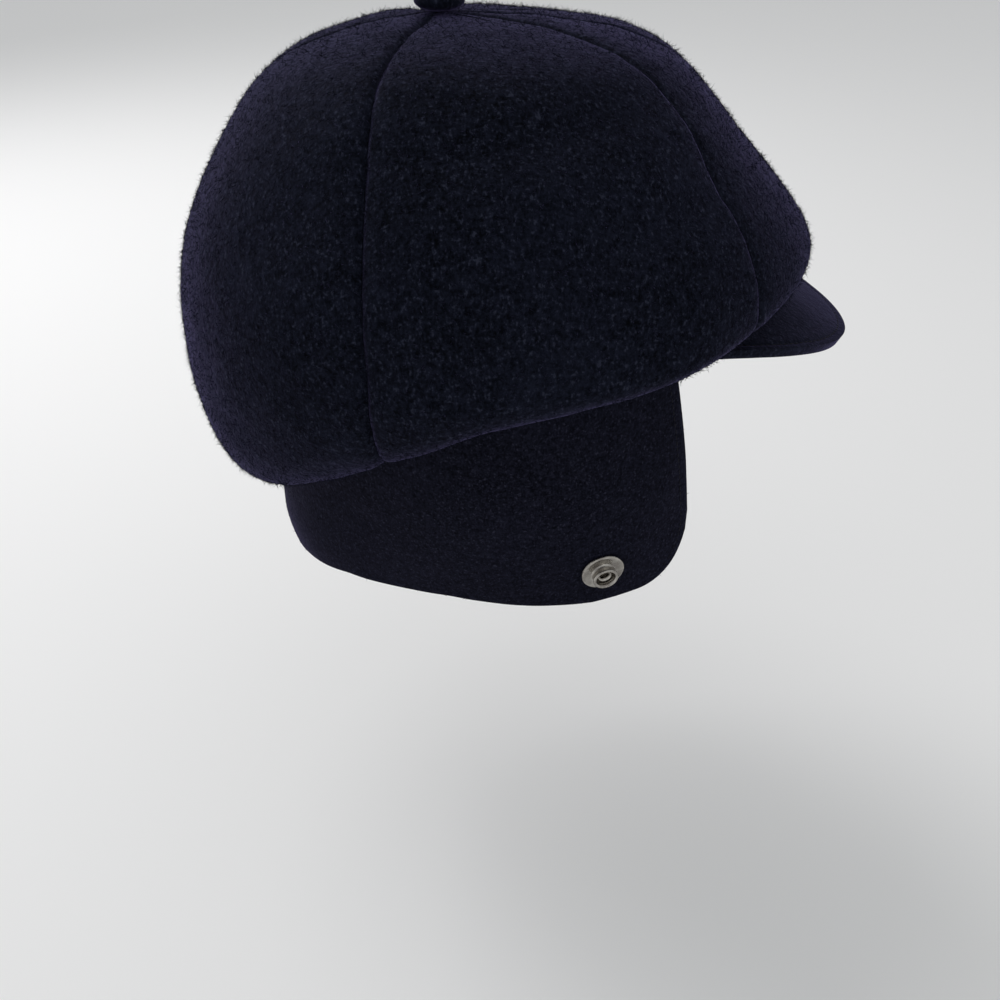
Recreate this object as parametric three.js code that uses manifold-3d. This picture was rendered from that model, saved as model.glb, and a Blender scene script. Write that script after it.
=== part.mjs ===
import Module from 'manifold-3d';
import * as THREE from 'three';
import { mergeVertices } from 'three/addons/utils/BufferGeometryUtils.js';

// An earflap cap: six crown panels, a covered button, a short peak, one ear and neck flap and two
// press studs. Lengths are millimetres and angles degrees. X runs forward, Y to the wearer's left
// and Z up. The origin is the centre of the head opening. The opening, the bottom fold, the peak
// and the flap are drawn level and then tilted as the cap is worn. The dome above the fold is drawn
// upright. Angles round the cap start at the front and turn towards the wearer's left.

// Head opening: the inner edge of the cloth that sits on the head
const head_length = 176;
const head_width = 150;
const worn_tilt = 16;

// Cloth
const crown_cloth = 2.2;
const flap_cloth = 2.2;
const peak_thickness = 3.4;
const seam_gap = 0.3;
const join_gap = 0.3;

// Crown: the button seat, the fullest line and the bottom fold
const seat_height = 105.5;
const seat_setback = 17;
const seat_eye = 3;
const full_front_reach = 108;
const full_side_reach = 102;
const full_nape_reach = 112;
const full_front_height = 39;
const full_side_height = 22;
const full_nape_height = 3.5;
const fold_front_inset = 11;
const fold_side_inset = 16;
const fold_nape_inset = 9;
const fold_front_height = -1;
const fold_side_height = 6.5;
const fold_nape_height = -23;
const fold_bend = 1.3;
const fold_radius = 5;
const fold_turn = 0.7;
const rim_ledge = 3.5;
const seam_spread = 16;
const seam_dip = 1.8;
const seam_dip_width = 5;

// Button
const button_width = 16;
const button_height = 7;
const button_shank_length = 4;

// Peak
const peak_depth = 36.5;
const peak_drop = 31.5;
const peak_half_width = 60;
const peak_half_angle = 47;
const peak_edge_bevel = 1.2;
const peak_bend = 1.5;

// Ear and neck flap
const flap_front_angle = 48.5;
const flap_ear_depth = 97.5;
const flap_nape_depth = 60;
const flap_corner_radius = 30;
const flap_ear_lean = 17;
const flap_nape_flare = 16;
const flap_lean_bend = 1.4;
const flap_nape_bend = 4;

// Press studs
const stud_angle = 76.5;
const stud_hem_distance = 21.5;
const stud_disc_width = 16;
const stud_disc_thickness = 0.9;
const stud_drum_width = 9.4;
const stud_drum_height = 4.4;
const stud_wall = 0.9;
const stud_rim = 0.6;
const stud_rim_height = 1.2;
const stud_edge_round = 0.4;
const post_width = 4.2;
const post_wall = 0.5;
const post_flange_width = 12;
const post_flange_thickness = 0.8;
const post_rise = 1.6;
const post_roll = 0.6;
const post_hole_clearance = 0.3;
const turned_segments = 20;

// Dome sections, from the button seat to the fullest line. out is the share of the way out to the
// fullest line. front, side and nape are shares of the seat's height above that line
const dome_sections = [
  { out: 0, front: 1, side: 1, nape: 1, steps: 2 },
  { out: 0.3, front: 0.98, side: 0.97, nape: 0.96, steps: 2 },
  { out: 0.58, front: 0.85, side: 0.88, nape: 0.85, steps: 2 },
  { out: 0.82, front: 0.42, side: 0.62, nape: 0.58, steps: 2 },
  { out: 0.96, front: 0.13, side: 0.32, nape: 0.3, steps: 2 },
  { out: 1, front: 0, side: 0, nape: 0, steps: 2 },
];

// Flank sections, from the fullest line to the bottom fold. in is the share of the way in to the
// fold's reach and fall the share of the way down to it
const flank_sections = [
  { in: 0.08, fall: 0.38, steps: 1 },
  { in: 0.29, fall: 0.71, steps: 2 },
  { in: 0.62, fall: 0.92, steps: 1 },
  { in: 1, fall: 1, steps: 1 },
];

// Lower edge of the flap: around runs from the front corner to the nape, ear is how far the edge
// keeps to the depth at the ear, and the rest of its share goes to the depth at the nape
const flap_edge = [
  { around: 0, ear: 1 },
  { around: 0.25, ear: 0.87 },
  { around: 0.5, ear: 0.53 },
  { around: 0.75, ear: 0.15 },
  { around: 1, ear: 0 },
];

// Soft dents of the crown. angle is where, level the share of the way down from the button to the
// fullest line, wide and tall their reach as shares of the crown's side reach, deep the dent
const crown_dents = [
  { angle: -78, level: 0.66, wide: 0.5, tall: 0.07, deep: 2.2 },
  { angle: -66, level: 0.98, wide: 0.42, tall: 0.08, deep: 2.6 },
  { angle: -140, level: 0.8, wide: 0.22, tall: 0.1, deep: 1.6 },
  { angle: 84, level: 0.7, wide: 0.45, tall: 0.08, deep: 2.2 },
  { angle: 62, level: 1.0, wide: 0.36, tall: 0.08, deep: 2.4 },
  { angle: 150, level: 0.75, wide: 0.3, tall: 0.1, deep: 1.8 },
];

// Button outline: out is the share of its half width, up the share of its height
const button_outline = [
  { out: 0.8, up: 0.04 },
  { out: 1, up: 0.22 },
  { out: 0.98, up: 0.45 },
  { out: 0.8, up: 0.76 },
  { out: 0.45, up: 0.96 },
  { out: 0, up: 1 },
];

// Rows of the peak as shares of the way from its root to its outer edge, and its columns
const peak_rows = [0, 0.3, 0.6, 0.85, 1];
const peak_columns = 24;

// Steps of the flap round its front corner, from there to the nape, and from top to bottom
const flap_corner_steps = 6;
const flap_back_steps = 15;
const flap_rows = 7;

// Where the six seams run, and the columns of one panel as shares of its sweep
const seam_angles = [0, 42, 109, 180, 251, 318];
const panel_columns = [0, 0.04, 0.12, 0.28, 0.5, 0.72, 0.88, 0.96, 1];

const rad = THREE.MathUtils.degToRad;

// Blends three values round the cap: front, side and nape. A higher power keeps more of the side
function around(angle, front, side, nape, power = 2) {
  const c = Math.cos(rad(angle));
  const end = c > 0 ? front : nape;
  return side + (end - side) * Math.abs(c) ** power;
}

// Tilts a level point or direction as the cap is worn
const y_axis = new THREE.Vector3(0, 1, 0);
function worn(vector) {
  return vector.clone().applyAxisAngle(y_axis, -rad(worn_tilt));
}

function ovalPoint(angle, front, side, nape, z) {
  const c = Math.cos(rad(angle));
  const s = Math.sin(rad(angle));
  return new THREE.Vector3((c > 0 ? front : nape) * c, side * s, z);
}

// The edge of the head opening and its level direction outwards
function rimPoint(angle) {
  return ovalPoint(angle, head_length / 2, head_width / 2, head_length / 2, 0);
}

function rimOutward(angle) {
  return new THREE.Vector3(
    Math.cos(rad(angle)) * head_width, Math.sin(rad(angle)) * head_length, 0).normalize();
}

function offsetPoint(point, direction, distance, lift = 0) {
  const moved = point.clone().addScaledVector(direction, distance);
  moved.z += lift;
  return moved;
}

// A number read from a table by straight lines between its rows
function readTable(table, key, value, position) {
  for (let i = 1; i < table.length; i += 1) {
    if (position <= table[i][key]) {
      const share = (position - table[i - 1][key]) / (table[i][key] - table[i - 1][key]);
      return THREE.MathUtils.lerp(table[i - 1][value], table[i][value], share);
    }
  }
  return table[table.length - 1][value];
}

// Normals of a grid of points, outwards where columns run round the cap and rows run down
function gridNormals(grid, closed) {
  const last = grid.length - 1;
  return grid.map((column, i) => column.map((point, j) => {
    const before = closed ? grid[(i + last) % (last + 1)] : grid[Math.max(i - 1, 0)];
    const after = closed ? grid[(i + 1) % (last + 1)] : grid[Math.min(i + 1, last)];
    const across = after[j].clone().sub(before[j]);
    const down = column[Math.min(j + 1, column.length - 1)].clone().sub(column[Math.max(j - 1, 0)]);
    return down.cross(across).normalize();
  }));
}

// A closed wall between an outer and an inner grid of the same size
function wallGeometry(outer, inner) {
  const columns = outer.length;
  const rows = outer[0].length;
  const corners = [...outer.flat(), ...inner.flat()];
  const at = (side, i, j) => side * columns * rows + i * rows + j;
  const faces = [];
  const quad = (a, b, c, d) => faces.push(a, b, c, a, c, d);
  for (let i = 0; i < columns - 1; i += 1) {
    for (let j = 0; j < rows - 1; j += 1) {
      quad(at(0, i, j), at(0, i, j + 1), at(0, i + 1, j + 1), at(0, i + 1, j));
      quad(at(1, i, j), at(1, i + 1, j), at(1, i + 1, j + 1), at(1, i, j + 1));
    }
    quad(at(0, i, 0), at(0, i + 1, 0), at(1, i + 1, 0), at(1, i, 0));
    const end = rows - 1;
    quad(at(0, i, end), at(1, i, end), at(1, i + 1, end), at(0, i + 1, end));
  }
  for (let j = 0; j < rows - 1; j += 1) {
    quad(at(0, 0, j), at(1, 0, j), at(1, 0, j + 1), at(0, 0, j + 1));
    const end = columns - 1;
    quad(at(0, end, j), at(0, end, j + 1), at(1, end, j + 1), at(1, end, j));
  }
  const geometry = new THREE.BufferGeometry();
  const numbers = corners.flatMap((point) => point.toArray());
  geometry.setAttribute('position', new THREE.Float32BufferAttribute(numbers, 3));
  geometry.setIndex(faces);
  geometry.computeVertexNormals();
  return geometry;
}

function fullPoint(angle) {
  return ovalPoint(angle, full_front_reach, full_side_reach, full_nape_reach,
    around(angle, full_front_height, full_side_height, full_nape_height));
}

// The crown's outer line at one angle, from the button seat to the head opening. Towards the
// button the lines spread away from the sides. The last rows are turned in under the fold
const turned_in_rows = 4;
function crownControls(angle) {
  const seat = new THREE.Vector3(-seat_setback, 0, seat_height);
  const full = fullPoint(angle);
  const fold = ovalPoint(angle, full_front_reach - fold_front_inset,
    full_side_reach - fold_side_inset, full_nape_reach - fold_nape_inset,
    around(angle, fold_front_height, fold_side_height, fold_nape_height, fold_bend));
  const rim = rimPoint(angle);
  const outward = rimOutward(angle);
  const controls = [];
  for (const row of dome_sections) {
    const turn = angle - seam_spread * Math.sin(2 * rad(angle)) * (1 - row.out);
    const widest = fullPoint(turn);
    const way = widest.clone().sub(seat).setZ(0);
    const out = Math.max(row.out, seat_eye / way.length());
    const point = offsetPoint(seat, way, out);
    const rise = around(turn, row.front, row.side, row.nape);
    point.z = THREE.MathUtils.lerp(widest.z, seat_height, rise);
    controls.push({ point, steps: row.steps });
  }
  const bottom = worn(fold);
  for (const row of flank_sections) {
    const point = full.clone().lerp(bottom, row.in);
    point.z = THREE.MathUtils.lerp(full.z, bottom.z, row.fall);
    controls.push({ point, steps: row.steps });
  }
  const turnUp = fold_turn * THREE.MathUtils.clamp(-fold.z, 0, fold_radius);
  const turned_in = offsetPoint(fold, outward, -fold_turn * fold_radius, turnUp);
  controls.push({ point: worn(turned_in), steps: 2 });
  controls.push({ point: worn(offsetPoint(rim, outward, rim_ledge)), steps: 1 });
  controls.push({ point: worn(rim), steps: 0 });
  return controls;
}

function crownLine(angle) {
  const controls = crownControls(angle);
  const curve = new THREE.CatmullRomCurve3(controls.map((row) => row.point), false, 'centripetal');
  const line = [];
  controls.forEach((row, i) => {
    for (let k = 0; k < Math.max(row.steps, 1); k += 1) {
      const share = row.steps > 0 ? k / row.steps : 0;
      line.push(curve.getPoint((i + share) / (controls.length - 1)));
    }
  });
  return line;
}

function turnBetween(angle, other) {
  return THREE.MathUtils.euclideanModulo(angle - other + 180, 360) - 180;
}

// How far the outer face sinks at one place, from the pull of the seams and the soft dents
function crownSink(angle, level, point) {
  const fromSeam = Math.min(...seam_angles.map((seam) => Math.abs(turnBetween(angle, seam))));
  const arc = rad(fromSeam) * Math.hypot(point.x + seat_setback * (1 - Math.min(level, 1)), point.y);
  let sink = seam_dip * Math.exp(-arc / seam_dip_width);
  for (const dent of crown_dents) {
    const sideways = rad(turnBetween(angle, dent.angle)) / dent.wide;
    const upward = (level - dent.level) / dent.tall;
    sink += dent.deep * Math.exp(-sideways * sideways - upward * upward);
  }
  return sink;
}

// The whole crown as outer and inner grids, one column for each share of each panel
function crownGrids() {
  const angles = [];
  seam_angles.forEach((seam, i) => {
    const next = seam_angles[i + 1] ?? seam_angles[0] + 360;
    for (const share of panel_columns.slice(0, -1)) {
      angles.push(seam + share * (next - seam));
    }
  });
  const plain = angles.map(crownLine);
  const plainNormals = gridNormals(plain, true);
  const dome_rows = dome_sections.slice(0, -1).reduce((sum, row) => sum + row.steps, 0);
  const outer = plain.map((column, i) => column.map((point, j) => {
    const turnedIn = j >= column.length - turned_in_rows;
    const sink = turnedIn ? 0 : crownSink(angles[i], j / dome_rows, point);
    return point.clone().addScaledVector(plainNormals[i][j], -sink);
  }));
  const normals = gridNormals(outer, true);
  const inner = outer.map((column, i) => column.map(
    (point, j) => point.clone().addScaledVector(normals[i][j], -crown_cloth)));
  return { outer, inner };
}

// One panel: the grid's columns between two seams, its edges drawn back by half the seam gap
function panelGeometry(grids, index) {
  const steps = panel_columns.length - 1;
  const total = grids.outer.length;
  const cut = (grid) => {
    const columns = panel_columns.map((_, k) => grid[(index * steps + k) % total]
      .map((point) => point.clone()));
    for (const [edge, next] of [[0, 1], [steps, steps - 1]]) {
      columns[edge].forEach((point, j) => {
        const inward = columns[next][j].clone().sub(point).normalize();
        point.addScaledVector(inward, seam_gap / 2);
      });
    }
    return columns;
  };
  return wallGeometry(cut(grids.outer), cut(grids.inner));
}

// A solid turned about Z from a list of radius and height
function turned(profile) {
  const points = profile.map(([r, z]) => new THREE.Vector2(r, z));
  const geometry = new THREE.LatheGeometry(points, turned_segments);
  geometry.rotateX(Math.PI / 2);
  return geometry;
}

// Button with its shank, standing over the eye where the panels meet
function buttonGeometry() {
  const shank = seat_eye - 2 * join_gap;
  return turned([
    [0, -button_shank_length],
    [shank, -button_shank_length],
    [shank, button_outline[0].up * button_height],
    ...button_outline.map((row) => [row.out * button_width / 2, row.up * button_height]),
  ]);
}

// The peak: rooted under the opening's front edge, its outer edge an arc that drops to the front
function peakGeometry() {
  const heel = rimPoint(peak_half_angle);
  const top = [];
  for (let i = 0; i <= peak_columns; i += 1) {
    const turn = -1 + 2 * i / peak_columns;
    const angle = turn * peak_half_angle;
    const root = offsetPoint(rimPoint(angle), rimOutward(angle), peak_thickness, -join_gap);
    const c = Math.cos(turn * Math.PI / 2);
    const edge = new THREE.Vector3(
      heel.x + (head_length / 2 + peak_depth - heel.x) * c,
      peak_half_width * Math.sin(turn * Math.PI / 2),
      -join_gap - peak_drop * c ** peak_bend);
    top.push(peak_rows.map((share) => root.clone().lerp(edge, share)));
  }
  const normals = gridNormals(top, false);
  const under = top.map((column, i) => column.map(
    (point, j) => point.clone().addScaledVector(normals[i][j], -peak_thickness)));
  top.forEach((column, i) => {
    const edge = column.length - 1;
    column[edge].addScaledVector(normals[i][edge], -peak_edge_bevel);
    under[i][edge].addScaledVector(normals[i][edge], peak_edge_bevel);
  });
  return wallGeometry(top, under);
}

// A point on the flap's outer face, by angle round the cap and fall below the opening's edge
function flapPoint(angle, fall) {
  const ear = flap_ear_lean * (fall / flap_ear_depth) ** flap_lean_bend;
  const nape = -flap_nape_flare * THREE.MathUtils.smoothstep(fall, 0, flap_nape_depth);
  const lean = around(angle, ear, ear, nape, flap_nape_bend);
  return offsetPoint(rimPoint(angle), rimOutward(angle), flap_cloth - lean, -join_gap - fall);
}

// Where the flap's columns stand and how far each falls, from its left front edge round the nape
function flapColumns() {
  const half = [];
  const speed = rad(1) * head_length / 2;
  for (let k = 0; k <= flap_corner_steps; k += 1) {
    const turn = k / flap_corner_steps * Math.PI / 2;
    const inset = flap_corner_radius * (1 - Math.cos(turn));
    const drop = flap_corner_radius * (1 - Math.sin(turn));
    half.push({ angle: flap_front_angle + inset / speed, cut: drop });
  }
  const start = half[half.length - 1].angle;
  for (let k = 1; k <= flap_back_steps; k += 1) {
    half.push({ angle: THREE.MathUtils.lerp(start, 180, k / flap_back_steps), cut: 0 });
  }
  for (const column of half) {
    const along = (column.angle - flap_front_angle) / (180 - flap_front_angle);
    const ear = readTable(flap_edge, 'around', 'ear', along);
    column.fall = THREE.MathUtils.lerp(flap_nape_depth, flap_ear_depth, ear) - column.cut;
  }
  const other = half.slice(0, -1).reverse();
  return [...half, ...other.map((column) => ({ ...column, angle: 360 - column.angle }))];
}

function flapWall() {
  const outer = flapColumns().map((column) => Array.from({ length: flap_rows + 1 },
    (_, j) => flapPoint(column.angle, column.fall * j / flap_rows)));
  const normals = gridNormals(outer, false);
  const inner = outer.map((column, i) => column.map(
    (point, j) => point.clone().addScaledVector(normals[i][j], -flap_cloth)));
  return wallGeometry(outer, inner);
}

// Place of a stud on the flap: a group whose Z axis leaves the cloth
function studPlace(angle) {
  const fall = flap_ear_depth - stud_hem_distance;
  const point = flapPoint(angle, fall);
  const step = 0.5;
  const across = flapPoint(angle + step, fall).sub(flapPoint(angle - step, fall));
  const down = flapPoint(angle, fall + step).sub(flapPoint(angle, fall - step));
  const out = down.cross(across).normalize();
  const place = new THREE.Group();
  place.position.copy(point);
  place.quaternion.setFromUnitVectors(new THREE.Vector3(0, 0, 1), out);
  place.updateMatrix();
  return place;
}

// The stud: a flat disc and a drum with a thicker rim, open through its middle
function studGeometry() {
  const hole = post_width / 2 + post_hole_clearance;
  const disc = stud_disc_width / 2;
  const drum = stud_drum_width / 2;
  const waist = drum - stud_rim;
  const face = join_gap + stud_disc_thickness;
  const top = join_gap + stud_drum_height;
  return turned([
    [hole, join_gap],
    [disc, join_gap],
    [disc, face - stud_edge_round],
    [disc - stud_edge_round, face],
    [waist, face],
    [waist, top - stud_rim_height - stud_edge_round],
    [drum, top - stud_rim_height],
    [drum, top - stud_edge_round],
    [drum - stud_edge_round, top],
    [drum - stud_wall, top],
    [drum - stud_wall - stud_edge_round, top - stud_rim_height],
    [waist - stud_wall, face],
    [hole, face],
    [hole, join_gap],
  ]);
}

// The post: a flange inside the flap and a tube through cloth and stud with a rolled end
function postGeometry() {
  const tube = post_width / 2;
  const bore = tube - post_wall;
  const inside = -flap_cloth - 2 * join_gap;
  const end = join_gap + stud_disc_thickness + post_rise;
  const flange = post_flange_width / 2;
  return turned([
    [0, inside - post_flange_thickness],
    [flange - stud_edge_round, inside - post_flange_thickness],
    [flange, inside - post_flange_thickness / 2],
    [flange - stud_edge_round, inside],
    [tube, inside],
    [tube, end - post_roll - stud_edge_round],
    [tube + post_roll, end - stud_edge_round],
    [tube + post_roll, end],
    [bore, end],
    [bore, inside],
    [0, inside],
  ]);
}

const wasm = await Module();
wasm.setup();

function toManifold(geometry) {
  const bare = geometry.clone();
  bare.deleteAttribute('normal');
  bare.deleteAttribute('uv');
  const merged = mergeVertices(bare, 1e-4);
  return new wasm.Manifold(new wasm.Mesh({
    numProp: 3,
    vertProperties: new Float32Array(merged.attributes.position.array),
    triVerts: new Uint32Array(merged.index.array),
  }));
}

function fromManifold(solid) {
  const mesh = solid.getMesh();
  const geometry = new THREE.BufferGeometry();
  geometry.setAttribute('position', new THREE.Float32BufferAttribute(mesh.vertProperties, 3));
  geometry.setIndex(new THREE.Uint32BufferAttribute(mesh.triVerts, 1));
  geometry.computeVertexNormals();
  return geometry;
}

const studPlaces = { right: studPlace(-stud_angle), left: studPlace(stud_angle) };

// The flap with a hole for each stud's post
function flapGeometry() {
  let solid = toManifold(flapWall());
  const hole = post_width / 2 + post_hole_clearance;
  const through = 6 * flap_cloth;
  for (const place of Object.values(studPlaces)) {
    const drill = new THREE.CylinderGeometry(hole, hole, through, turned_segments);
    drill.rotateX(Math.PI / 2);
    drill.applyMatrix4(place.matrix);
    solid = solid.subtract(toManifold(drill));
  }
  return fromManifold(solid);
}

const wool = new THREE.MeshStandardMaterial({ color: 0x14132a, roughness: 0.95, metalness: 0 });
const felt = new THREE.MeshStandardMaterial({ color: 0x171432, roughness: 0.9, metalness: 0 });
const nickel = new THREE.MeshStandardMaterial({ color: 0xb9b7b2, roughness: 0.28, metalness: 1 });

const cap = new THREE.Group();
const tilted = new THREE.Group();
tilted.rotation.y = -rad(worn_tilt);
cap.add(tilted);

function add(name, geometry, material, parent = cap) {
  const mesh = new THREE.Mesh(geometry, material.clone());
  mesh.name = name;
  parent.add(mesh);
  return mesh;
}

const grids = crownGrids();
const panel_names = [
  'panel_front_left', 'panel_side_left', 'panel_back_left',
  'panel_back_right', 'panel_side_right', 'panel_front_right',
];
panel_names.forEach((name, index) => add(name, panelGeometry(grids, index), wool));

const button = add('button', buttonGeometry(), wool);
button.position.set(-seat_setback, 0, seat_height);

add('peak', peakGeometry(), wool, tilted);
add('earflap', flapGeometry(), felt, tilted);

for (const [side, place] of Object.entries(studPlaces)) {
  add(`snap_stud_${side}`, studGeometry(), nickel, place);
  add(`snap_post_${side}`, postGeometry(), nickel, place);
  tilted.add(place);
}

export default cap;
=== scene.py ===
# %% [markdown]
# # An earflap cap in brushed wool
#
# The cap has a full crown of six panels that meet under a covered button, a short peak, and one
# flap that runs from ear to ear round the nape, with a press stud on each side. The solid model
# gives every piece its place and size. This lesson dresses each piece: the cloth gets its seams,
# soft dents and nap, the flap its stitching, and the studs their turned metal.
#
# The first cell loads the solid model as a fixed frame. The dressed cap has to stay inside it.

# %% Load the frame
import math

import bmesh
import bpy
import numpy as np
from mathutils import Matrix, Vector, noise


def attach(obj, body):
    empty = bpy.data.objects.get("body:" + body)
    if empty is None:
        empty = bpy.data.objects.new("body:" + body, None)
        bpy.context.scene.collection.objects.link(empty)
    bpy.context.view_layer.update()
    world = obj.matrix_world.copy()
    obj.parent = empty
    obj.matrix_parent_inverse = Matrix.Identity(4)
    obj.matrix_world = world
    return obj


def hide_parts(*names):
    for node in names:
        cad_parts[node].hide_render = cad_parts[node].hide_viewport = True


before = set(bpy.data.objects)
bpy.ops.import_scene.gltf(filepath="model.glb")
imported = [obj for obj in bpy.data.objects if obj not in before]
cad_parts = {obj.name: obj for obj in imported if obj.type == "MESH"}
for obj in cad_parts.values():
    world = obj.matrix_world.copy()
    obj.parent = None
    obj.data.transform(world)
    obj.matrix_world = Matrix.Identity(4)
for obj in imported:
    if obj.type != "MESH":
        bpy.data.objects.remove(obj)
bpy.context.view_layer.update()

print("nodes:", ", ".join(sorted(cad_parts)))

# %% [markdown]
# ## Sizes
#
# Everything is in metres. The crown is drawn upright, and the opening, the bottom fold, the peak
# and the flap are drawn level and then tilted, as the cap is worn. The same few sizes and tables
# that shape the solids shape the cloth here, so that each sheet lies where its solid lies.

# %% Named sizes
MM = 0.001
HEAD_LENGTH = 176 * MM
HEAD_WIDTH = 150 * MM
WORN_TILT = 16
CROWN_CLOTH = 2.2 * MM
FLAP_CLOTH = 2.2 * MM
PEAK_THICKNESS = 3.4 * MM
SEAM_GAP = 0.3 * MM
JOIN_GAP = 0.3 * MM

SEAT = Vector((-17 * MM, 0, 105.5 * MM))
SEAT_EYE = 3 * MM
FULL_REACH = (108 * MM, 102 * MM, 112 * MM)
FULL_HEIGHT = (39 * MM, 22 * MM, 3.5 * MM)
FOLD_REACH = (97 * MM, 86 * MM, 103 * MM)
FOLD_HEIGHT = (-1 * MM, 6.5 * MM, -23 * MM)
FOLD_BEND = 1.3
FOLD_RADIUS = 5 * MM
FOLD_TURN = 0.7
RIM_LEDGE = 3.5 * MM
SEAM_SPREAD = 16

PEAK_DEPTH = 36.5 * MM
PEAK_DROP = 31.5 * MM
PEAK_HALF_WIDTH = 60 * MM
PEAK_HALF_SWEEP = 47
PEAK_BEND = 1.5

FLAP_FRONT_ANGLE = 48.5
FLAP_EAR_DEPTH = 97.5 * MM
FLAP_NAPE_DEPTH = 60 * MM
FLAP_CORNER_RADIUS = 30 * MM
FLAP_EAR_LEAN = 17 * MM
FLAP_NAPE_FLARE = 16 * MM
FLAP_LEAN_BEND = 1.4
FLAP_NAPE_BEND = 4

STUD_ANGLE = 76.5
STUD_FALL = FLAP_EAR_DEPTH - 21.5 * MM

# share of the way out, then of the seat's height at the front, side and nape
DOME_SECTIONS = [
    (0, 1, 1, 1),
    (0.3, 0.98, 0.97, 0.96),
    (0.58, 0.85, 0.88, 0.85),
    (0.82, 0.42, 0.62, 0.58),
    (0.96, 0.13, 0.32, 0.3),
    (1, 0, 0, 0),
]
# share of the way in and of the way down from the fullest line to the fold
FLANK_SECTIONS = [(0.08, 0.38), (0.29, 0.71), (0.62, 0.92), (1, 1)]
# place along the flap's edge, and how far it keeps to the depth at the ear
FLAP_EDGE = [(0, 1), (0.25, 0.87), (0.5, 0.53), (0.75, 0.15), (1, 0)]
SEAM_ANGLES = [0, 42, 109, 180, 251, 318, 360]
PANEL_NAMES = ["front_left", "side_left", "back_left", "back_right", "side_right", "front_right"]
print("head opening %.0f x %.0f mm" % (HEAD_LENGTH / MM, HEAD_WIDTH / MM))

# %% [markdown]
# ## The camera and the light
#
# The cap is seen from its right side and from above the brow. The light is a soft studio light:
# a wide lamp above and behind it draws the bright edge of the nap, and a pale room fills the rest.
# The Standard view keeps dark cloth as dark as its real reflectance makes it.

# %% Camera
CAMERA_PLACE = (1.9 * MM, -337.7 * MM, 155 * MM)
CAMERA_PITCH = 35
CAMERA_LENS = 35.1
camera_data = bpy.data.cameras.new("camera")
camera_data.lens = CAMERA_LENS
camera_data.sensor_width = 36
camera_data.clip_start = 0.01
camera = bpy.data.objects.new("camera", camera_data)
camera.location = CAMERA_PLACE
camera.rotation_euler = (math.radians(90 - CAMERA_PITCH), 0, 0)
bpy.context.scene.collection.objects.link(camera)
bpy.context.scene.camera = camera
print("camera at", [round(v, 3) for v in camera.location])

# %% Lamps and room


def area_lamp(name, place, target, size, power, colour):
    data = bpy.data.lights.new(name, "AREA")
    data.shape = "DISK"
    data.size = size
    data.energy = power
    data.color = colour
    lamp = bpy.data.objects.new(name, data)
    lamp.location = place
    lamp.rotation_euler = (Vector(target) - Vector(place)).to_track_quat("-Z", "Y").to_euler()
    bpy.context.scene.collection.objects.link(lamp)
    return lamp


area_lamp("lamp_above", (-0.9, 0.75, 0.85), (0, 0, 0.02), 0.8, 6.8, (1, 0.98, 1))
area_lamp("lamp_top", (-0.55, 0.5, 1.3), (0, 0, 0.02), 0.8, 3.4, (1, 0.99, 0.98))
area_lamp("lamp_stud", (0.5, -1.1, 0.35), (0, 0, 0), 0.35, 0.5, (1, 1, 1))
world = bpy.data.worlds.new("pale_room")
bpy.context.scene.world = world
world.use_nodes = True
world.node_tree.nodes["Background"].inputs["Color"].default_value = (0.94, 0.95, 0.97, 1)
world.node_tree.nodes["Background"].inputs["Strength"].default_value = 0.62
bpy.context.scene.view_settings.view_transform = "Standard"
print("lamps and room")

# %% [markdown]
# ## Shader maths as Python
#
# A node tree is easier to read as a sum than as a web. The class below wraps one socket. Adding,
# multiplying or subtracting wrapped sockets adds the Math nodes, and `node` adds any other node.

# %% Sockets as values


class Value:
    """One output socket of a node tree, used like a number."""

    def __init__(self, tree, socket):
        self.tree = tree
        self.socket = socket

    def maths(self, operation, first, second=None, clamp=False):
        made = self.tree.nodes.new("ShaderNodeMath")
        made.operation = operation
        made.use_clamp = clamp
        for place, term in enumerate((first, second)):
            if isinstance(term, Value):
                self.tree.links.new(term.socket, made.inputs[place])
            elif term is not None:
                made.inputs[place].default_value = term
        return Value(self.tree, made.outputs[0])

    def __add__(self, other):
        return self.maths("ADD", self, other)

    __radd__ = __add__

    def __sub__(self, other):
        return self.maths("SUBTRACT", self, other)

    def __rsub__(self, other):
        return self.maths("SUBTRACT", other, self)

    def __mul__(self, other):
        return self.maths("MULTIPLY", self, other)

    __rmul__ = __mul__

    def __truediv__(self, other):
        return self.maths("DIVIDE", self, other)

    def above(self, low, high):
        """0 below low, 1 above high."""
        return self.maths("MULTIPLY", self - low, 1 / (high - low), clamp=True)


class Finish:
    """A new material with its Principled shader, and one way to add any node."""

    def __init__(self, name, **fixed):
        self.material = bpy.data.materials.new(name)
        self.material.use_nodes = True
        self.tree = self.material.node_tree
        self.shader = self.tree.nodes["Principled BSDF"]
        for socket, value in fixed.items():
            self.shader.inputs[socket.replace("_", " ")].default_value = value

    def node(self, kind, settings=None, output=0, **values):
        made = self.tree.nodes.new(kind)
        for key, value in (settings or {}).items():
            setattr(made, key, value)
        for key, value in values.items():
            socket = made.inputs[int(key[1:])] if key[0] == "_" else made.inputs[key]
            if isinstance(value, Value):
                self.tree.links.new(value.socket, socket)
            else:
                socket.default_value = value
        return Value(self.tree, made.outputs[output])

    def feed(self, socket, value):
        self.tree.links.new(value.socket, self.shader.inputs[socket])

    def place(self, scale=(1, 1, 1)):
        coordinates = self.node("ShaderNodeTexCoord", output=3)
        return self.node("ShaderNodeMapping", {"vector_type": "POINT"}, Vector=coordinates,
                         Scale=scale)


print("shader maths ready")

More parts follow.
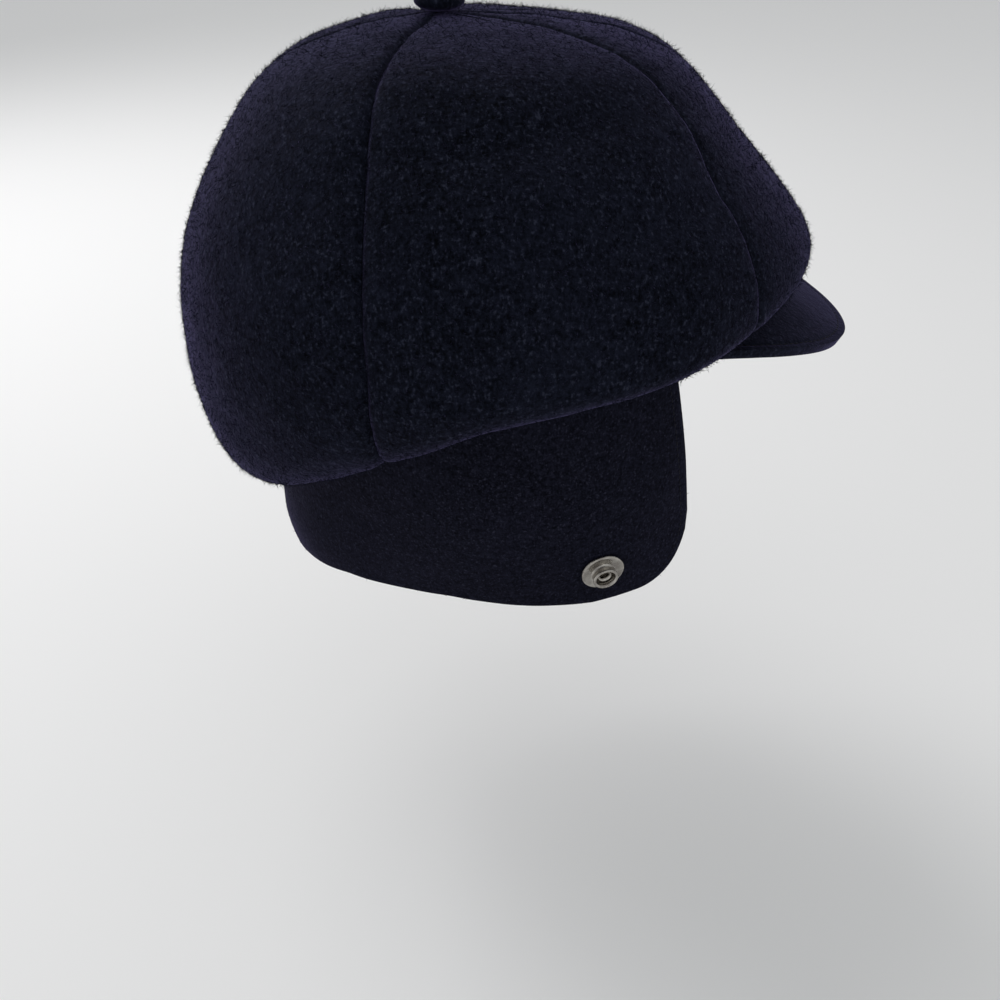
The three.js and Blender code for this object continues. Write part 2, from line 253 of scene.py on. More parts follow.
# %% [markdown]
# ## Brushed wool
#
# The crown is a milled and brushed wool. Its nap hides the weave: what shows is a dense mat of
# fine fibres that lie every way, a few lighter hairs on it, and slow patches where the nap was
# stroked. Grazing light makes it glow, which is what the shader's sheen does. The fibres are a
# stretched noise at the fibre's own scale, turned two ways and added.

# %% Wool and felt


def mat_of_fibres(finish, fine, coarse):
    """Height of a mat of fibres, from noises stretched along different directions."""
    total = None
    for turn, stretch in ((0.3, (1, 2.6, 1.6)), (1.3, (2.6, 1, 1.9)), (2.2, (1.7, 1.5, 0.8))):
        coordinates = finish.node("ShaderNodeTexCoord", output=3)
        turned = finish.node("ShaderNodeMapping", Vector=coordinates,
                             Rotation=(turn, turn * 1.7, turn * 0.6), Scale=stretch)
        strands = finish.node("ShaderNodeTexNoise", {"noise_dimensions": "3D"}, Vector=turned,
                              Scale=fine, Detail=3.0, Roughness=0.6, Distortion=0.25)
        total = strands if total is None else total + strands
    clumps = finish.node("ShaderNodeTexNoise", Vector=finish.place(), Scale=coarse, Detail=4.0,
                         Roughness=0.62)
    return total / 3, clumps


def cloth_finish(name, dark, light, fleck, sheen, fine, coarse, depth, fleck_share):
    finish = Finish(name, Roughness=0.92)
    finish.shader.inputs["Sheen Weight"].default_value = sheen
    finish.shader.inputs["Sheen Roughness"].default_value = 0.32
    finish.shader.inputs["Sheen Tint"].default_value = (0.42, 0.36, 0.86, 1)
    finish.shader.inputs["Specular IOR Level"].default_value = 0.04
    fibres, clumps = mat_of_fibres(finish, fine, coarse)
    patches = finish.node("ShaderNodeTexNoise", Vector=finish.place(), Scale=28.0, Detail=2.0)
    tone = (fibres.above(0.44, 0.56) * 0.55 + clumps.above(0.38, 0.64) * 0.35
            + patches.above(0.35, 0.7) * 0.2)
    mixed = finish.node("ShaderNodeMix", {"data_type": "RGBA"}, output=2, _0=tone,
                        _6=(*dark, 1), _7=(*light, 1))
    hairs = fibres.above(fleck_share, fleck_share + 0.04)
    colour = finish.node("ShaderNodeMix", {"data_type": "RGBA"}, output=2, _0=hairs * 0.42,
                         _6=mixed, _7=(*fleck, 1))
    finish.feed("Base Color", colour)
    height = fibres + clumps * 0.9
    normal = finish.node("ShaderNodeBump", Strength=1.0, Distance=depth, Height=height)
    finish.feed("Normal", normal)
    return finish.material


wool = cloth_finish("crown_wool", (0.0005, 0.0009, 0.0018), (0.0096, 0.0116, 0.0222),
                    (0.04, 0.045, 0.07), 0.27, 520.0, 330.0, 0.00035, 0.555)
felt = cloth_finish("flap_felt", (0.0007, 0.001, 0.0026), (0.0105, 0.0112, 0.0215),
                    (0.04, 0.041, 0.065), 0.14, 680.0, 420.0, 0.00025, 0.565)
print("materials:", wool.name, felt.name)

# %% Metal and thread


def nickel_finish():
    finish = Finish("stud_nickel", Metallic=1.0)
    scratches = finish.node("ShaderNodeTexNoise", Vector=finish.place((1, 1, 6)), Scale=900.0,
                            Detail=3.0)
    tarnish = finish.node("ShaderNodeTexNoise", Vector=finish.place(), Scale=260.0, Detail=3.0)
    colour = finish.node("ShaderNodeMix", {"data_type": "RGBA"}, output=2,
                         _0=tarnish.above(0.35, 0.7), _6=(0.26, 0.24, 0.22, 1),
                         _7=(0.5, 0.48, 0.44, 1))
    finish.feed("Base Color", colour)
    finish.feed("Roughness", scratches * 0.22 + 0.14)
    finish.feed("Normal", finish.node("ShaderNodeBump", Strength=0.25, Distance=0.0001,
                                      Height=scratches))
    return finish.material


def thread_finish():
    finish = Finish("thread", Roughness=0.7)
    finish.shader.inputs["Specular IOR Level"].default_value = 0.15
    twist = finish.node("ShaderNodeTexNoise", Vector=finish.place(), Scale=2500.0, Detail=2.0)
    colour = finish.node("ShaderNodeMix", {"data_type": "RGBA"}, output=2, _0=twist,
                         _6=(0.001, 0.001, 0.003, 1), _7=(0.006, 0.006, 0.013, 1))
    finish.feed("Base Color", colour)
    finish.feed("Normal", finish.node("ShaderNodeBump", Strength=0.5, Distance=0.0002,
                                      Height=twist))
    return finish.material


nickel = nickel_finish()
thread = thread_finish()
print("materials:", nickel.name, thread.name)

# %% [markdown]
# ## The crown's surface
#
# The crown is worked out as a line for each angle round the cap: from the button over the dome,
# down to the bottom fold and back in to the edge that sits on the head. A smooth curve through a
# few named sections gives the line, and the cloth's own folds are added to it afterwards.

# %% Lines of the crown


def round_cap(angle, values, power=2):
    """Blends three values: front, side and nape."""
    front, side, nape = values
    c = math.cos(math.radians(angle))
    return side + ((front if c > 0 else nape) - side) * abs(c) ** power


def oval(angle, reaches, height):
    front, side, nape = reaches
    c, s = math.cos(math.radians(angle)), math.sin(math.radians(angle))
    return Vector(((front if c > 0 else nape) * c, side * s, height))


tilt = Matrix.Rotation(-math.radians(WORN_TILT), 3, "Y")


def rim_point(angle):
    return oval(angle, (HEAD_LENGTH / 2, HEAD_WIDTH / 2, HEAD_LENGTH / 2), 0)


def rim_outward(angle):
    c, s = math.cos(math.radians(angle)), math.sin(math.radians(angle))
    return Vector((c * HEAD_WIDTH, s * HEAD_LENGTH, 0)).normalized()


def full_point(angle):
    return oval(angle, FULL_REACH, round_cap(angle, FULL_HEIGHT))


def crown_controls(angle):
    full = full_point(angle)
    fold = oval(angle, FOLD_REACH, round_cap(angle, FOLD_HEIGHT, FOLD_BEND))
    controls = []
    for out, *rises in DOME_SECTIONS:
        turn = angle - SEAM_SPREAD * math.sin(math.radians(2 * angle)) * (1 - out)
        widest = full_point(turn)
        way = Vector((widest.x - SEAT.x, widest.y - SEAT.y, 0))
        point = SEAT + way * max(out, SEAT_EYE / way.length)
        point.z = widest.z + (SEAT.z - widest.z) * round_cap(turn, rises)
        controls.append(point)
    bottom = tilt @ fold
    for inward, fall in FLANK_SECTIONS:
        point = full.lerp(bottom, inward)
        point.z = full.z + (bottom.z - full.z) * fall
        controls.append(point)
    outward = rim_outward(angle)
    up = Vector((0, 0, FOLD_TURN * min(max(-fold.z, 0), FOLD_RADIUS)))
    controls.append(tilt @ (fold - outward * FOLD_TURN * FOLD_RADIUS + up))
    controls.append(tilt @ (rim_point(angle) + outward * RIM_LEDGE))
    controls.append(tilt @ rim_point(angle))
    return controls


def smooth_line(controls, steps=24):
    """A centripetal Catmull-Rom curve through the controls, as close points."""
    points = np.array(controls)
    ends = np.vstack([2 * points[0] - points[1], points, 2 * points[-1] - points[-2]])
    line = []
    for i in range(1, len(ends) - 2):
        a, b, c, d = ends[i - 1:i + 3]
        u, v, w = (math.sqrt(np.linalg.norm(q - p)) for p, q in ((a, b), (b, c), (c, d)))
        start = ((b - a) / u - (c - a) / (u + v) + (c - b) / v) * v
        end = ((c - b) / v - (d - b) / (v + w) + (d - c) / w) * v
        for t in np.arange(steps) / steps:
            line.append(b + start * t + (3 * (c - b) - 2 * start - end) * t ** 2
                        + (2 * (b - c) + start + end) * t ** 3)
    return np.array(line + [ends[-2]])


def even_line(controls, count):
    """The same curve as count + 1 points at even spacing, and its length."""
    line = smooth_line(controls)
    walked = np.concatenate([[0], np.cumsum(np.linalg.norm(np.diff(line, axis=0), axis=1))])
    wanted = np.linspace(0, walked[-1], count + 1)
    return np.stack([np.interp(wanted, walked, line[:, k]) for k in range(3)], 1), walked[-1]


side_line, side_length = even_line(crown_controls(270), 10)
print("the crown's line over the right side is %.0f mm long" % (side_length / MM))

# %% [markdown]
# ## Six panels of cloth
#
# Each panel starts as a plain grid, because a grid is what cut cloth is: rows run round the cap
# and columns run down it. The grid is laid on the crown's surface. Then the cloth is worked: it
# sinks into each seam in a narrow valley, swells a little between the seams, and carries the slow
# dents of a soft hat. Solidify gives it its real thickness.

# %% Folds and dents of the crown
SEAM_VALLEY = 1.5 * MM
SEAM_VALLEY_WIDTH = 4.2 * MM
SEAM_CREASE = 1.0 * MM
SEAM_CREASE_WIDTH = 1.1 * MM
FRONT_SEAM_PULL = 0.45
FRONT_SEAM_REACH = 62
TURNED_IN = 0.93
UNDER_BUTTON = 0.05
# angle, share of the way down, width in degrees, height as a share, depth
CROWN_DENTS = [
    (-78, 0.42, 30, 0.045, 2.0 * MM),
    (-60, 0.6, 26, 0.05, 2.2 * MM),
    (-128, 0.5, 16, 0.08, 1.2 * MM),
    (-100, 0.72, 24, 0.05, 1.0 * MM),
    (84, 0.44, 28, 0.05, 2.0 * MM),
    (62, 0.62, 24, 0.05, 2.2 * MM),
    (150, 0.5, 20, 0.07, 1.5 * MM),
    (20, 0.5, 14, 0.08, 1.0 * MM),
]


def turn_between(angle, other):
    return (angle - other + 180) % 360 - 180


def crown_relief(angle, down, point, to_seam):
    """How far the cloth stands off its plain surface at one place."""
    pull = FRONT_SEAM_PULL if abs(turn_between(angle, 0)) < FRONT_SEAM_REACH else 1
    off = -SEAM_VALLEY * pull * math.exp(-to_seam / SEAM_VALLEY_WIDTH)
    off -= SEAM_CREASE * pull * math.exp(-(to_seam / SEAM_CREASE_WIDTH) ** 2)
    for at, level, wide, tall, deep in CROWN_DENTS:
        sideways = turn_between(angle, at) / wide
        upward = (down - level) / tall
        off -= deep * math.exp(-sideways ** 2 - upward ** 2)
    place = Vector(point)
    off += 0.9 * MM * noise.noise(place * 22)
    off += 0.28 * MM * noise.noise(place * 75)
    pucker = noise.noise(place * 150) * math.exp(-to_seam / (7 * MM))
    return (off + 0.5 * MM * pucker) * min(down / UNDER_BUTTON, 1)


print("the crown has", len(CROWN_DENTS), "soft dents")

# %% Lay the panels


def new_grid(name, columns, rows):
    """A grid primitive with columns x rows faces, as an object at the origin."""
    bpy.ops.object.select_all(action="DESELECT")
    bpy.ops.mesh.primitive_grid_add(x_subdivisions=columns, y_subdivisions=rows, size=2)
    made = bpy.context.object
    made.name = made.data.name = name
    spots = np.empty(len(made.data.vertices) * 3)
    made.data.vertices.foreach_get("co", spots)
    spots = spots.reshape(-1, 3)
    across = np.rint((spots[:, 0] + 1) / 2 * columns).astype(int)
    along = np.rint((spots[:, 1] + 1) / 2 * rows).astype(int)
    return made, across, along


def lay_grid(piece, across, along, points):
    """Moves each corner of the grid to its place: points[column][row]."""
    piece.data.vertices.foreach_set("co", points[across, along].ravel())
    piece.data.update()


def grid_normals(points, closed=False):
    across = np.gradient(points, axis=0)
    if closed:
        across = (np.roll(points, -1, 0) - np.roll(points, 1, 0)) / 2
    down = np.gradient(points, axis=1)
    normals = np.cross(down, across)
    return normals / np.linalg.norm(normals, axis=2, keepdims=True)


def finish_piece(piece, material):
    piece.data.materials.clear()
    piece.data.materials.append(material)
    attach(piece, "root")
    return piece


def apply_modifier(piece, kind, **settings):
    bpy.ops.object.select_all(action="DESELECT")
    piece.select_set(True)
    bpy.context.view_layer.objects.active = piece
    modifier = piece.modifiers.new(kind.lower(), kind)
    for key, value in settings.items():
        setattr(modifier, key, value)
    bpy.ops.object.modifier_apply(modifier=modifier.name)


def smooth_piece(piece, angle=40):
    bpy.ops.object.select_all(action="DESELECT")
    piece.select_set(True)
    bpy.context.view_layer.objects.active = piece
    bpy.ops.object.shade_smooth_by_angle(angle=math.radians(angle))


def outward_faces(piece):
    bpy.ops.object.select_all(action="DESELECT")
    piece.select_set(True)
    bpy.context.view_layer.objects.active = piece
    bpy.ops.object.mode_set(mode="EDIT")
    bpy.ops.mesh.select_all(action="SELECT")
    bpy.ops.mesh.normals_make_consistent(inside=False)
    bpy.ops.object.mode_set(mode="OBJECT")


ROWS = 150


def panel_points(first, last, columns):
    """Places of one panel's corners, with its folds, and the flat size it was cut to."""
    shares = np.linspace(0, 1, columns + 1)
    shares = 0.5 - 0.5 * np.cos(shares * math.pi) * (1 - 0.25 * np.sin(shares * math.pi))
    angles = first + (last - first) * shares
    lines = [even_line(crown_controls(a), ROWS) for a in angles]
    plain = np.array([line for line, _ in lines])
    normals = grid_normals(plain)
    worked = plain.copy()
    for i, angle in enumerate(angles):
        for j in range(ROWS + 1):
            down = j / ROWS
            point = plain[i, j]
            side = min(np.linalg.norm(point - plain[0, j]), np.linalg.norm(point - plain[-1, j]))
            fade = 1 - min(max((down - TURNED_IN) / 0.04, 0), 1)
            off = crown_relief(angle, down, point, side) * fade
            worked[i, j] += normals[i, j] * off
    for edge, inward in ((0, 1), (-1, -2)):
        step = worked[inward] - worked[edge]
        length = np.linalg.norm(step, axis=1, keepdims=True)
        worked[edge] += step / length * np.minimum(SEAM_GAP / 2, length * 0.4)
    widest = max(np.linalg.norm(np.diff(plain[:, j], axis=0), axis=1).sum()
                 for j in range(0, ROWS, 10))
    return worked, (widest, max(length for _, length in lines))


def sheet_area(points):
    across = np.diff(points, axis=0)[:, :-1]
    down = np.diff(points, axis=1)[:-1]
    return float(np.linalg.norm(np.cross(across, down), axis=2).sum())


crown_surfaces = []
for index, label in enumerate(PANEL_NAMES):
    first, last = SEAM_ANGLES[index], SEAM_ANGLES[index + 1]
    columns = round((last - first) * 1.35)
    points, flat = panel_points(first, last, columns)
    piece, across, along = new_grid("wool_panel_" + label, columns, ROWS)
    lay_grid(piece, across, along, points)
    crown_surfaces.append(points)
    area = sheet_area(points)
    outward_faces(piece)
    middle = piece.data.polygons[len(piece.data.polygons) // 2]
    outside = middle.normal.dot(middle.center - Vector((0, 0, 0.03))) > 0
    apply_modifier(piece, "SOLIDIFY", thickness=CROWN_CLOTH, offset=-1 if outside else 1,
                   use_even_offset=False)
    outward_faces(piece)
    smooth_piece(piece)
    finish_piece(piece, wool)
    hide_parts("panel_" + label)
    max(area, 0.31 * flat[0] * flat[1])
    print(piece.name, "flat %.0f x %.0f mm, %.0f cm2" % (flat[0] / MM, flat[1] / MM, area * 1e4),
          "faces", len(piece.data.polygons), "outside" if outside else "inside")

# %% [markdown]
# ## The flap
#
# One cut of felt runs from ear to ear round the nape. It hangs from the head opening, leans in
# under the ears and stands off the nape a little. Its two front edges are top-stitched.

# %% Surface of the flap


def flap_point(angle, fall):
    ear = FLAP_EAR_LEAN * (max(fall, 0) / FLAP_EAR_DEPTH) ** FLAP_LEAN_BEND
    share = min(max(fall / FLAP_NAPE_DEPTH, 0), 1)
    nape = -FLAP_NAPE_FLARE * share * share * (3 - 2 * share)
    lean = round_cap(angle, (ear, ear, nape), FLAP_NAPE_BEND)
    outward = rim_outward(angle)
    return tilt @ (rim_point(angle) + outward * (FLAP_CLOTH - lean)
                   - Vector((0, 0, JOIN_GAP + fall)))


def flap_depth(angle):
    """How far the flap falls at one angle, from its left front edge round to the right one."""
    half = angle if angle <= 180 else 360 - angle
    along = (half - FLAP_FRONT_ANGLE) / (180 - FLAP_FRONT_ANGLE)
    ear = float(np.interp(along, *zip(*FLAP_EDGE)))
    depth = FLAP_NAPE_DEPTH + (FLAP_EAR_DEPTH - FLAP_NAPE_DEPTH) * ear
    inset = math.radians(half - FLAP_FRONT_ANGLE) * HEAD_LENGTH / 2
    if inset < FLAP_CORNER_RADIUS:
        left = 1 - inset / FLAP_CORNER_RADIUS
        depth -= FLAP_CORNER_RADIUS * (1 - math.sqrt(max(1 - left * left, 0)))
    return depth


FLAP_COLUMNS = 260
FLAP_ROWS = 60


def flap_relief(point, fall):
    place = Vector(point)
    off = 0.7 * MM * noise.noise(place * 24 + Vector((5, 1, 2)))
    off += 0.2 * MM * noise.noise(place * 90)
    return off * min(max(fall, 0) / (6 * MM), 1)


flap_shares = np.linspace(0, 1, FLAP_COLUMNS + 1)
flap_shares = flap_shares + 0.11 * np.sin(2 * math.pi * flap_shares) / (2 * math.pi)
flap_angles = FLAP_FRONT_ANGLE + (360 - 2 * FLAP_FRONT_ANGLE) * flap_shares
flap_plain = np.array([[flap_point(a, flap_depth(a) * j / FLAP_ROWS)
                        for j in range(FLAP_ROWS + 1)] for a in flap_angles])
flap_normals = grid_normals(flap_plain)
flap_points = flap_plain.copy()
for i, angle in enumerate(flap_angles):
    depth = flap_depth(angle)
    for j in range(FLAP_ROWS + 1):
        off = flap_relief(flap_plain[i, j], depth * j / FLAP_ROWS)
        flap_points[i, j] += flap_normals[i, j] * off
flap, across, along = new_grid("felt_flap", FLAP_COLUMNS, FLAP_ROWS)
lay_grid(flap, across, along, flap_points)
outward_faces(flap)
middle = flap.data.polygons[len(flap.data.polygons) // 2]
outside = middle.normal.dot(middle.center) > 0
apply_modifier(flap, "SOLIDIFY", thickness=FLAP_CLOTH, offset=-1 if outside else 1,
               use_even_offset=False)
apply_modifier(flap, "BEVEL", width=0.5 * MM, segments=2, limit_method="ANGLE",
               angle_limit=math.radians(60))
outward_faces(flap)
smooth_piece(flap)
finish_piece(flap, felt)
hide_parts("earflap")

# %% [markdown]
# ## The peak
#
# The peak is a stiff board covered in the crown's wool. Its outer edge is an arc that drops to the
# front and a line of stitching runs round it a few millimetres in.

# %% Surface of the peak
PEAK_COLUMNS = 120
PEAK_ROWS = 36


def peak_top(turn, share):
    angle = turn * PEAK_HALF_SWEEP
    root = rim_point(angle) + rim_outward(angle) * PEAK_THICKNESS - Vector((0, 0, JOIN_GAP))
    heel = rim_point(PEAK_HALF_SWEEP)
    c = math.cos(turn * math.pi / 2)
    edge = Vector((heel.x + (HEAD_LENGTH / 2 + PEAK_DEPTH - heel.x) * c,
                   PEAK_HALF_WIDTH * math.sin(turn * math.pi / 2),
                   -JOIN_GAP - PEAK_DROP * c ** PEAK_BEND))
    return tilt @ root.lerp(edge, share)


turns = np.linspace(-1, 1, PEAK_COLUMNS + 1)
peak_plain = np.array([[peak_top(t, j / PEAK_ROWS) for j in range(PEAK_ROWS + 1)] for t in turns])
peak_normals = grid_normals(peak_plain)
peak_points = peak_plain.copy()
for i in range(PEAK_COLUMNS + 1):
    to_edge = np.linalg.norm(peak_plain[i] - peak_plain[i, -1], axis=1)
    for j in range(PEAK_ROWS + 1):
        off = -0.35 * MM * math.exp(-((to_edge[j] - 3 * MM) / (0.8 * MM)) ** 2)
        off += 0.25 * MM * noise.noise(Vector(peak_plain[i, j]) * 60)
        peak_points[i, j] += peak_normals[i, j] * off * min(j / 4, 1)
peak, across, along = new_grid("wool_peak", PEAK_COLUMNS, PEAK_ROWS)
lay_grid(peak, across, along, peak_points)
outward_faces(peak)
middle = peak.data.polygons[len(peak.data.polygons) // 2]
apply_modifier(peak, "SOLIDIFY", thickness=PEAK_THICKNESS, offset=-1 if middle.normal.z > 0 else 1,
               use_even_offset=False)
apply_modifier(peak, "BEVEL", width=1.2 * MM, segments=4, limit_method="ANGLE",
               angle_limit=math.radians(60))
outward_faces(peak)
smooth_piece(peak)
finish_piece(peak, wool)
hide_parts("peak")
print("peak", len(peak.data.polygons), "faces")

# %% [markdown]
# ## The button
#
# A small dome covered in a scrap of the same wool, gathered underneath. It starts as a ball, is
# squashed, its underside is pushed flat, and the middle of it is drawn down into a short shank that
# fills the eye where the six panels meet.

# %% Button
BUTTON_WIDTH = 16 * MM
BUTTON_HEIGHT = 7 * MM
BUTTON_SHANK = 4 * MM
bpy.ops.object.select_all(action="DESELECT")
bpy.ops.mesh.primitive_uv_sphere_add(segments=48, ring_count=28, radius=BUTTON_WIDTH / 2)
button = bpy.context.object
button.name = button.data.name = "wool_button"
for vertex in button.data.vertices:
    x, y, z = vertex.co
    turn = math.atan2(y, x)
    lift = z / (BUTTON_WIDTH / 2)
    gather = 1 + 0.02 * math.cos(12 * turn) * max(-lift, 0)
    height = BUTTON_HEIGHT * (0.42 + 0.58 * lift) if lift > 0 else BUTTON_HEIGHT * 0.42 * (
        1 + max(lift, -1) * 1.05)
    if lift < -0.94:
        height = -BUTTON_SHANK
    vertex.co = (x * gather, y * gather, height)
bpy.ops.object.mode_set(mode="EDIT")
bpy.ops.mesh.select_all(action="SELECT")
bpy.ops.transform.translate(value=tuple(SEAT))
bpy.ops.object.mode_set(mode="OBJECT")
smooth_piece(button, 80)
finish_piece(button, wool)
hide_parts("button")
print("button", len(button.data.polygons), "faces")

# %% [markdown]
# ## Press studs
#
# A stud is turned metal: a thin disc on the cloth and a drum with a rolled rim, open at the top,
# with the post's rolled end inside it. Its outline is drawn as a few edges and spun round its axis.

# %% Spin a turned piece


def spun(name, outline, place, steps=56):
    """Spins an outline of (radius, height) round the Z axis of place."""
    bpy.ops.object.select_all(action="DESELECT")
    bpy.ops.mesh.primitive_plane_add(size=1)
    piece = bpy.context.object
    piece.name = piece.data.name = name
    shape = bmesh.new()
    corners = [shape.verts.new((r, 0, z)) for r, z in outline]
    for first, second in zip(corners, corners[1:]):
        shape.edges.new((first, second))
    shape.to_mesh(piece.data)
    shape.free()
    bpy.ops.object.mode_set(mode="EDIT")
    bpy.ops.mesh.select_all(action="SELECT")
    bpy.ops.mesh.spin(steps=steps, angle=math.tau, center=(0, 0, 0), axis=(0, 0, 1))
    bpy.ops.mesh.select_all(action="SELECT")
    bpy.ops.mesh.remove_doubles(threshold=1e-6)
    bpy.ops.mesh.normals_make_consistent(inside=False)
    bpy.ops.object.mode_set(mode="OBJECT")
    piece.data.transform(place)
    smooth_piece(piece, 35)
    return piece


def stud_place(angle):
    """Where a stud stands: its origin on the cloth and its Z axis off it."""
    point = flap_point(angle, STUD_FALL)
    across = flap_point(angle + 0.5, STUD_FALL) - flap_point(angle - 0.5, STUD_FALL)
    down = flap_point(angle, STUD_FALL + 0.5 * MM) - flap_point(angle, STUD_FALL - 0.5 * MM)
    out = down.cross(across).normalized()
    return Matrix.Translation(point) @ out.to_track_quat("Z", "Y").to_matrix().to_4x4()


# radius and height above the cloth, in millimetres
STUD_OUTLINE = [
    (2.4, 0.3), (7.6, 0.3), (7.85, 0.4), (8.0, 0.62), (7.9, 0.92), (7.55, 1.12), (7.1, 1.17),
    (6.5, 1.1), (5.4, 1.12), (4.6, 1.25), (4.3, 1.55), (4.12, 2.1), (4.1, 2.9), (4.25, 3.3),
    (4.55, 3.5), (4.7, 3.85), (4.68, 4.25), (4.45, 4.58), (4.1, 4.7), (3.8, 4.6), (3.55, 4.3),
    (3.4, 3.7), (3.3, 2.2), (3.1, 1.4), (2.4, 1.2), (2.4, 0.3),
]
POST_OUTLINE = [
    (0, -3.6), (5.6, -3.6), (5.9, -3.45), (6.0, -3.2), (5.9, -2.95), (5.6, -2.8), (2.1, -2.8),
    (2.1, 2.0), (2.45, 2.2), (2.7, 2.55), (2.68, 2.85), (2.4, 3.05), (2.0, 2.98), (1.7, 2.7),
    (1.55, 2.2), (1.5, 0), (0, 0),
]
scale_up = Matrix.Scale(MM, 4)
for side, turn in (("right", -1), ("left", 1)):
    place = stud_place(turn * STUD_ANGLE) @ scale_up
    stud = spun("stud_" + side, STUD_OUTLINE, place)
    finish_piece(stud, nickel)
    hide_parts("snap_stud_" + side)
    post = spun("post_" + side, POST_OUTLINE, place)
    finish_piece(post, nickel)
    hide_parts("snap_post_" + side)
    print(side, "stud", len(stud.data.polygons), "and post", len(post.data.polygons), "faces")

# %% [markdown]
# ## Stitches
#
# One stitch is a short thread that dips into the cloth at both ends. It is modelled once, from a
# small ball that is stretched, and copied along a path with its own mesh for each row.

# %% Rows of stitches
STITCH_LENGTH = 2.6 * MM
STITCH_WIDTH = 0.42 * MM


def stitch_row(name, path, normals):
    """Joins copies of one stitch along path, with each stitch's top along its normal."""
    bpy.ops.object.select_all(action="DESELECT")
    bpy.ops.mesh.primitive_uv_sphere_add(segments=8, ring_count=5, radius=0.5)
    row = bpy.context.object
    row.name = row.data.name = name
    ball = np.array([v.co for v in row.data.vertices])
    faces = [list(p.vertices) for p in row.data.polygons]
    steps = np.linalg.norm(np.diff(path, axis=0), axis=1)
    walked = np.concatenate([[0], np.cumsum(steps)])
    count = int(walked[-1] / STITCH_LENGTH)
    places, made = [], []
    for k in range(count):
        middle = (k + 0.5) * STITCH_LENGTH
        at = np.array([np.interp(middle, walked, path[:, n]) for n in range(3)])
        ahead = np.array([np.interp(middle + 0.5 * MM, walked, path[:, n]) for n in range(3)])
        top = np.array([np.interp(middle, walked, normals[:, n]) for n in range(3)])
        run = (ahead - at) / np.linalg.norm(ahead - at)
        top = top - run * top.dot(run)
        top /= np.linalg.norm(top)
        side = np.cross(top, run)
        spots = (at + ball[:, :1] * run * STITCH_LENGTH * 0.82 + ball[:, 1:2] * side * STITCH_WIDTH
                 + (ball[:, 2:] * 0.8 - 0.02) * top * STITCH_WIDTH)
        made += [[c + len(places) * len(ball) for c in face] for face in faces]
        places.append(spots)
    mesh = bpy.data.meshes.new(name)
    mesh.from_pydata([tuple(p) for p in np.concatenate(places)], [], made)
    row.data = mesh
    outward_faces(row)
    smooth_piece(row, 80)
    finish_piece(row, thread)
    return row


def inside_edge(points, normals, order, inset):
    """A line on a grid that keeps inset from its last row."""
    line, tops = [], []
    for i in order:
        column = points[i]
        walked = np.concatenate([[0], np.cumsum(
            np.linalg.norm(np.diff(column[::-1], axis=0), axis=1))])
        line.append([np.interp(inset, walked, column[::-1, k]) for k in range(3)])
        tops.append([np.interp(inset, walked, normals[i][::-1, k]) for k in range(3)])
    return np.array(line), np.array(tops)


FRONT_INSET = 4 * MM
CORNER_TURN = 62


def flap_skin(side, inset, fall):
    """A place on the flap's worked face and the way off it, from its front edge and its top."""
    def at(inset, fall):
        angle = side * (FLAP_FRONT_ANGLE + math.degrees(inset / (HEAD_LENGTH / 2)))
        return flap_point(angle, fall)
    point = at(inset, fall)
    across = at(inset + 0.5 * MM, fall) - at(inset - 0.5 * MM, fall)
    down = at(inset, fall + 0.5 * MM) - at(inset, fall - 0.5 * MM)
    out = down.cross(across).normalized() * side
    if out.dot(point) < 0:
        out = -out
    return point + out * flap_relief(point, fall), out


def front_edge_line(side):
    """The line of stitches that keeps inside the flap's front edge and round its corner."""
    corner = FLAP_CORNER_RADIUS - FRONT_INSET
    straight = flap_depth(FLAP_FRONT_ANGLE)
    spots = [(FRONT_INSET, fall) for fall in np.linspace(2 * MM, straight, 60)]
    for turn in np.radians(np.linspace(0, CORNER_TURN, 30))[1:]:
        spots.append((FLAP_CORNER_RADIUS - corner * math.cos(turn),
                      straight + corner * math.sin(turn)))
    places = [flap_skin(side, *spot) for spot in spots]
    return np.array([p for p, _ in places]), np.array([n for _, n in places])


for label, side in (("right", -1), ("left", 1)):
    stitch_row("flap_stitches_" + label, *front_edge_line(side))
peak_line, peak_tops = inside_edge(peak_points, grid_normals(peak_points),
                                   range(8, PEAK_COLUMNS - 7), 3 * MM)
peak_stitches = stitch_row("peak_stitches", peak_line, peak_tops)

# %% [markdown]
# ## The nap
#
# Brushed wool has loose fibre ends that stand off the cloth and blur its outline. Each is a thin
# closed spike of four faces. They are scattered over the panels from one seeded source, so that
# every run gives the same nap.

# %% Scatter fibres
FIBRE_LENGTH = (0.9 * MM, 3.0 * MM)
FIBRE_WIDTH = 0.085 * MM
# fibres on a square metre
CROWN_NAP = 1.3e6
FLAP_NAP = 0.3e6


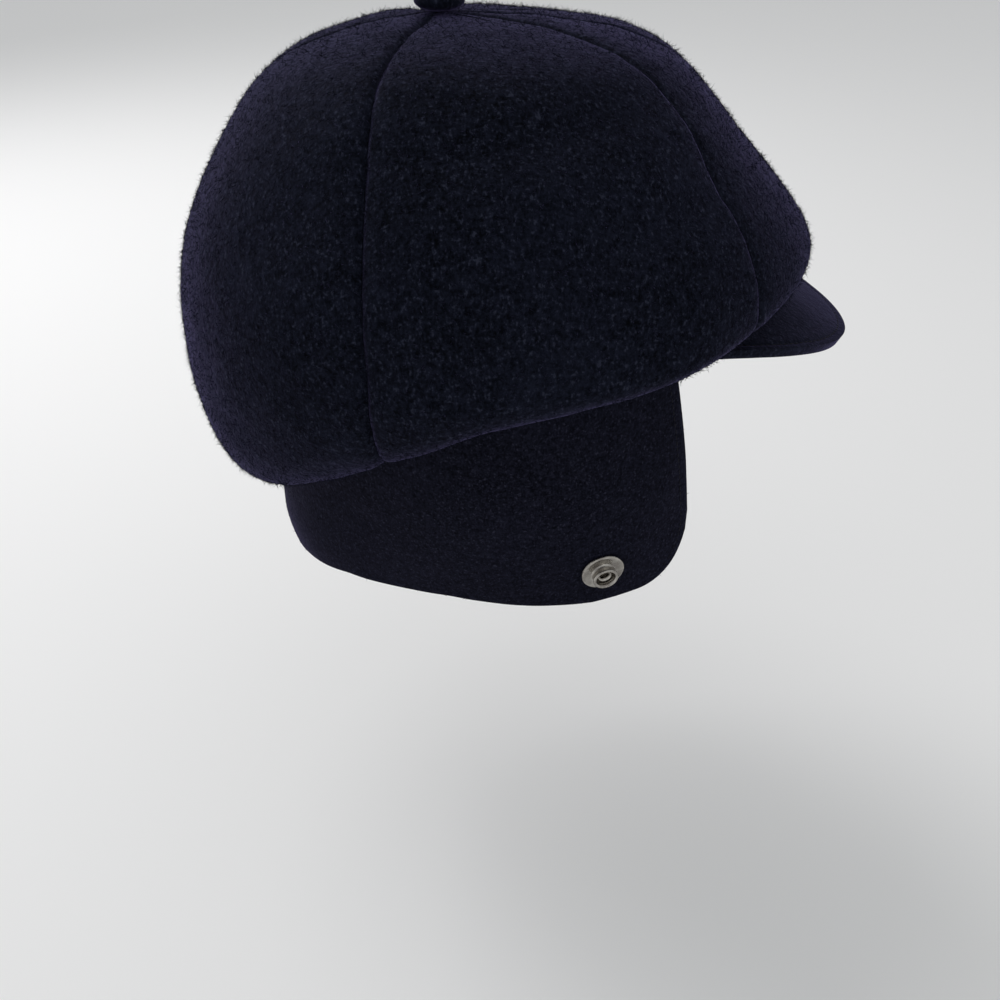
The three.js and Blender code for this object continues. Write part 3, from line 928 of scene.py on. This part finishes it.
def nap(name, surface, density, seed, material, reach=FIBRE_LENGTH):
    draw = np.random.default_rng(seed)
    columns, rows = surface.shape[0] - 1, surface.shape[1] - 1
    normals = grid_normals(surface)
    across = np.diff(surface, axis=0)[:, :-1]
    down = np.diff(surface, axis=1)[:-1]
    areas = np.linalg.norm(np.cross(across, down), axis=2).ravel()
    count = int(density * areas.sum())
    chosen = draw.choice(len(areas), size=count, p=areas / areas.sum())
    i, j = chosen // rows, chosen % rows
    root = (surface[i, j] + across[i, j] * draw.random((count, 1))
            + down[i, j] * draw.random((count, 1)))
    out = normals[i, j]
    along = draw.normal(size=(count, 3))
    along -= out * (along * out).sum(1, keepdims=True)
    along /= np.linalg.norm(along, axis=1, keepdims=True)
    rise = draw.random((count, 1)) ** 1.2
    run = along * np.sqrt(1 - (rise * 0.85) ** 2) + out * rise * 0.85
    length = reach[0] + (reach[1] - reach[0]) * draw.random((count, 1)) ** 2.2
    side = np.cross(run, out)
    side /= np.linalg.norm(side, axis=1, keepdims=True)
    top = np.cross(side, run)
    width = FIBRE_WIDTH * (0.6 + 0.8 * draw.random((count, 1)))
    root = root - out * 0.1 * MM
    corners = np.stack([root + side * width, root - side * width * 0.5 + top * width * 0.87,
                        root - side * width * 0.5 - top * width * 0.87, root + run * length], 1)
    bpy.ops.object.select_all(action="DESELECT")
    bpy.ops.mesh.primitive_cone_add(vertices=3)
    piece = bpy.context.object
    piece.name = name
    mesh = bpy.data.meshes.new(name)
    base = np.arange(count)[:, None, None] * 4
    faces = (base + np.array([[0, 1, 3], [1, 2, 3], [2, 0, 3], [0, 2, 1]])).reshape(-1, 3)
    mesh.from_pydata(corners.reshape(-1, 3).tolist(), [], faces.tolist())
    piece.data = mesh
    outward_faces(piece)
    finish_piece(piece, material)
    return piece


for index, (label, surface) in enumerate(zip(PANEL_NAMES, crown_surfaces)):
    fuzz = nap("nap_" + label, surface, CROWN_NAP, 40 + index, wool)
    print(fuzz.name, len(fuzz.data.polygons), "faces")
flap_fuzz = nap("nap_flap", flap_points, FLAP_NAP, 50, felt, (0.5 * MM, 1.6 * MM))
print(flap_fuzz.name, len(flap_fuzz.data.polygons), "faces")

# %% [markdown]
# ## Floor
#
# A plain pale floor below the cap, which is held up as it is worn.

# %% Floor
FLOOR_HEIGHT = -0.215
bpy.ops.object.select_all(action="DESELECT")
bpy.ops.mesh.primitive_plane_add(size=8, location=(0, 0, FLOOR_HEIGHT))
floor = bpy.context.object
floor.name = "floor"
pale = Finish("pale_floor", Roughness=0.9, Base_Color=(0.9, 0.902, 0.89, 1))
floor.data.materials.append(pale.material)
print("floor at", FLOOR_HEIGHT)
